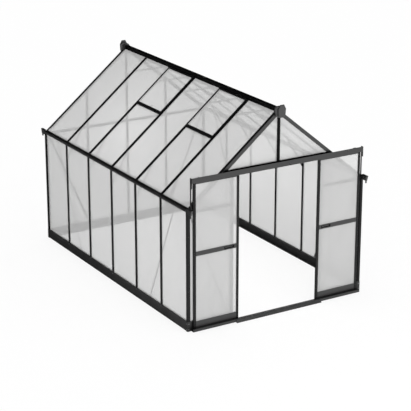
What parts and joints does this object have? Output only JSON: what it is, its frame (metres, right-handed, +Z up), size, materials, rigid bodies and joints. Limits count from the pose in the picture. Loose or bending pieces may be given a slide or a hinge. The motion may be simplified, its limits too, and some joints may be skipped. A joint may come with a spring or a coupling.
{
  "type": "greenhouse",
  "caption": "Walk-in greenhouse of twin-wall polycarbonate in a dark grey aluminium frame, with a pitched roof, roof vents, gutters and sliding double doors in the front gable.",
  "frame": {"origin": "middle of the plan at ground level, under the crossing of the ridge and the middle bay line", "axes": "+Z up, +Y from the front gable with the doors to the back gable, along the ridge, and +X to the right as seen from the front"},
  "size_m": [2.508, 3.946, 2.593],
  "materials": {
    "frame_coat": "satin dark grey powder coat on extruded aluminium",
    "base_steel": "satin dark grey powder coat on folded galvanised steel",
    "twin_wall_sheet": "clear twin-wall polycarbonate with fine upright flutes",
    "moulded_plastic": "moulded dark grey plastic",
    "roller_plastic": "smooth black nylon",
    "bright_steel": "bright zinc-plated steel"
  },
  "bodies": {
    "greenhouse": {"base_sides": "base_steel", "base_back": "base_steel", "base_front": "base_steel", "door_sill": "base_steel", "base_corners": "base_steel", "corner_posts": "frame_coat", "side_wall_posts": "frame_coat", "gable_posts": "frame_coat", "door_jambs": "frame_coat", "door_lintel": "frame_coat", "wall_ties": "frame_coat", "left_wall_panels": "twin_wall_sheet", "right_wall_panels": "twin_wall_sheet", "back_wall_panels": "twin_wall_sheet", "front_wall_panels": "twin_wall_sheet", "gutter_beams": "frame_coat", "gutter_spouts": "moulded_plastic", "roof_bars": "frame_coat", "gable_rafters": "frame_coat", "ridge_beam": "frame_coat", "ridge_end_caps": "moulded_plastic", "left_roof_panels": "twin_wall_sheet", "right_roof_panels": "twin_wall_sheet", "vent_sills": "frame_coat", "vent_frames": "frame_coat", "vent_panels": "twin_wall_sheet", "vent_stays": "moulded_plastic", "side_wall_braces": "frame_coat", "gable_braces": "frame_coat", "knee_braces": "frame_coat", "collar_ties": "frame_coat", "door_header": "frame_coat", "header_cover": "frame_coat", "header_stays": "frame_coat", "door_track": "frame_coat", "threshold_ramp": "moulded_plastic"},
    "left_door": {"left_door_stiles": "frame_coat", "left_door_rails": "frame_coat", "left_door_panels": "twin_wall_sheet", "left_door_handle": "moulded_plastic", "left_door_hangers": "bright_steel", "left_door_rollers": "roller_plastic"},
    "right_door": {"right_door_stiles": "frame_coat", "right_door_rails": "frame_coat", "right_door_panels": "twin_wall_sheet", "right_door_handle": "moulded_plastic", "right_door_hangers": "bright_steel", "right_door_rollers": "roller_plastic"}
  },
  "joints": [
    {"name": "left_door_slide", "type": "slide", "parent": "greenhouse", "child": "left_door", "axis": [1, 0, 0], "range_m": [0, 0.555]},
    {"name": "right_door_slide", "type": "slide", "parent": "greenhouse", "child": "right_door", "axis": [1, 0, 0], "range_m": [-0.555, 0]}
  ]
}
